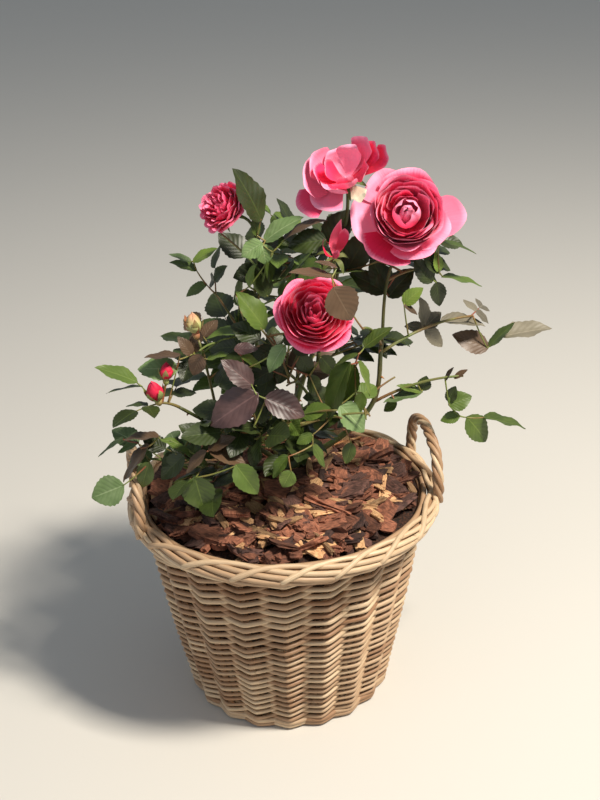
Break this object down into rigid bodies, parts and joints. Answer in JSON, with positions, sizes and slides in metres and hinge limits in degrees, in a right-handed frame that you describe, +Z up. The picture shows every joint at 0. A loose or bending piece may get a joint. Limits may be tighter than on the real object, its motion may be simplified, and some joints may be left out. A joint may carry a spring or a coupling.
{
  "type": "potted rose bush",
  "caption": "Rose bush in a round wicker basket with two rope handles, bark mulch over the root ball, arching canes, compound leaves and full pink blooms.",
  "frame": {"origin": "centre of the basket's flat underside, where it stands on the ground", "axes": "+Z up along the basket's axis; -Y towards the side of the bush that shows in the picture; +X to the right in it, the way the tallest stems lean"},
  "size_m": [0.467, 0.3579, 0.5811],
  "materials": {
    "willow": "peeled willow rods, dry and smooth",
    "bark": "rough shredded bark",
    "compost": "matt, crumbly",
    "cane": "smooth green-brown bark",
    "leaf": "semi-gloss leaf",
    "petal": "soft satin petal"
  },
  "bodies": {
    "root": {"bark_mulch": "bark", "basket_border": "willow", "basket_wall": "willow", "bloom_centre": "petal", "bloom_inner": "petal", "bloom_left": "petal", "bloom_top": "petal", "bloom_upper_right": "petal", "cane_back": "cane", "cane_centre": "cane", "cane_front": "cane", "cane_left": "cane", "cane_left_low": "cane", "cane_left_top": "cane", "cane_right": "cane", "cane_top": "cane", "foliage_back_high": "leaf", "foliage_back_left": "leaf", "foliage_back_low": "leaf", "foliage_back_right": "leaf", "foliage_centre": "leaf", "foliage_centre_right": "leaf", "foliage_collar": "leaf", "foliage_front_low": "leaf", "foliage_heart": "leaf", "foliage_left_front": "leaf", "foliage_left_inner": "leaf", "foliage_left_low": "leaf", "foliage_left_mid": "leaf", "foliage_left_tip": "leaf", "foliage_right_high": "leaf", "foliage_right_low": "leaf", "foliage_top": "leaf", "foliage_top_back": "leaf", "foliage_upper_right": "leaf", "handle_left": "willow", "handle_right": "willow", "root_ball": "compost", "stem_base": "cane"}
  },
  "joints": []
}
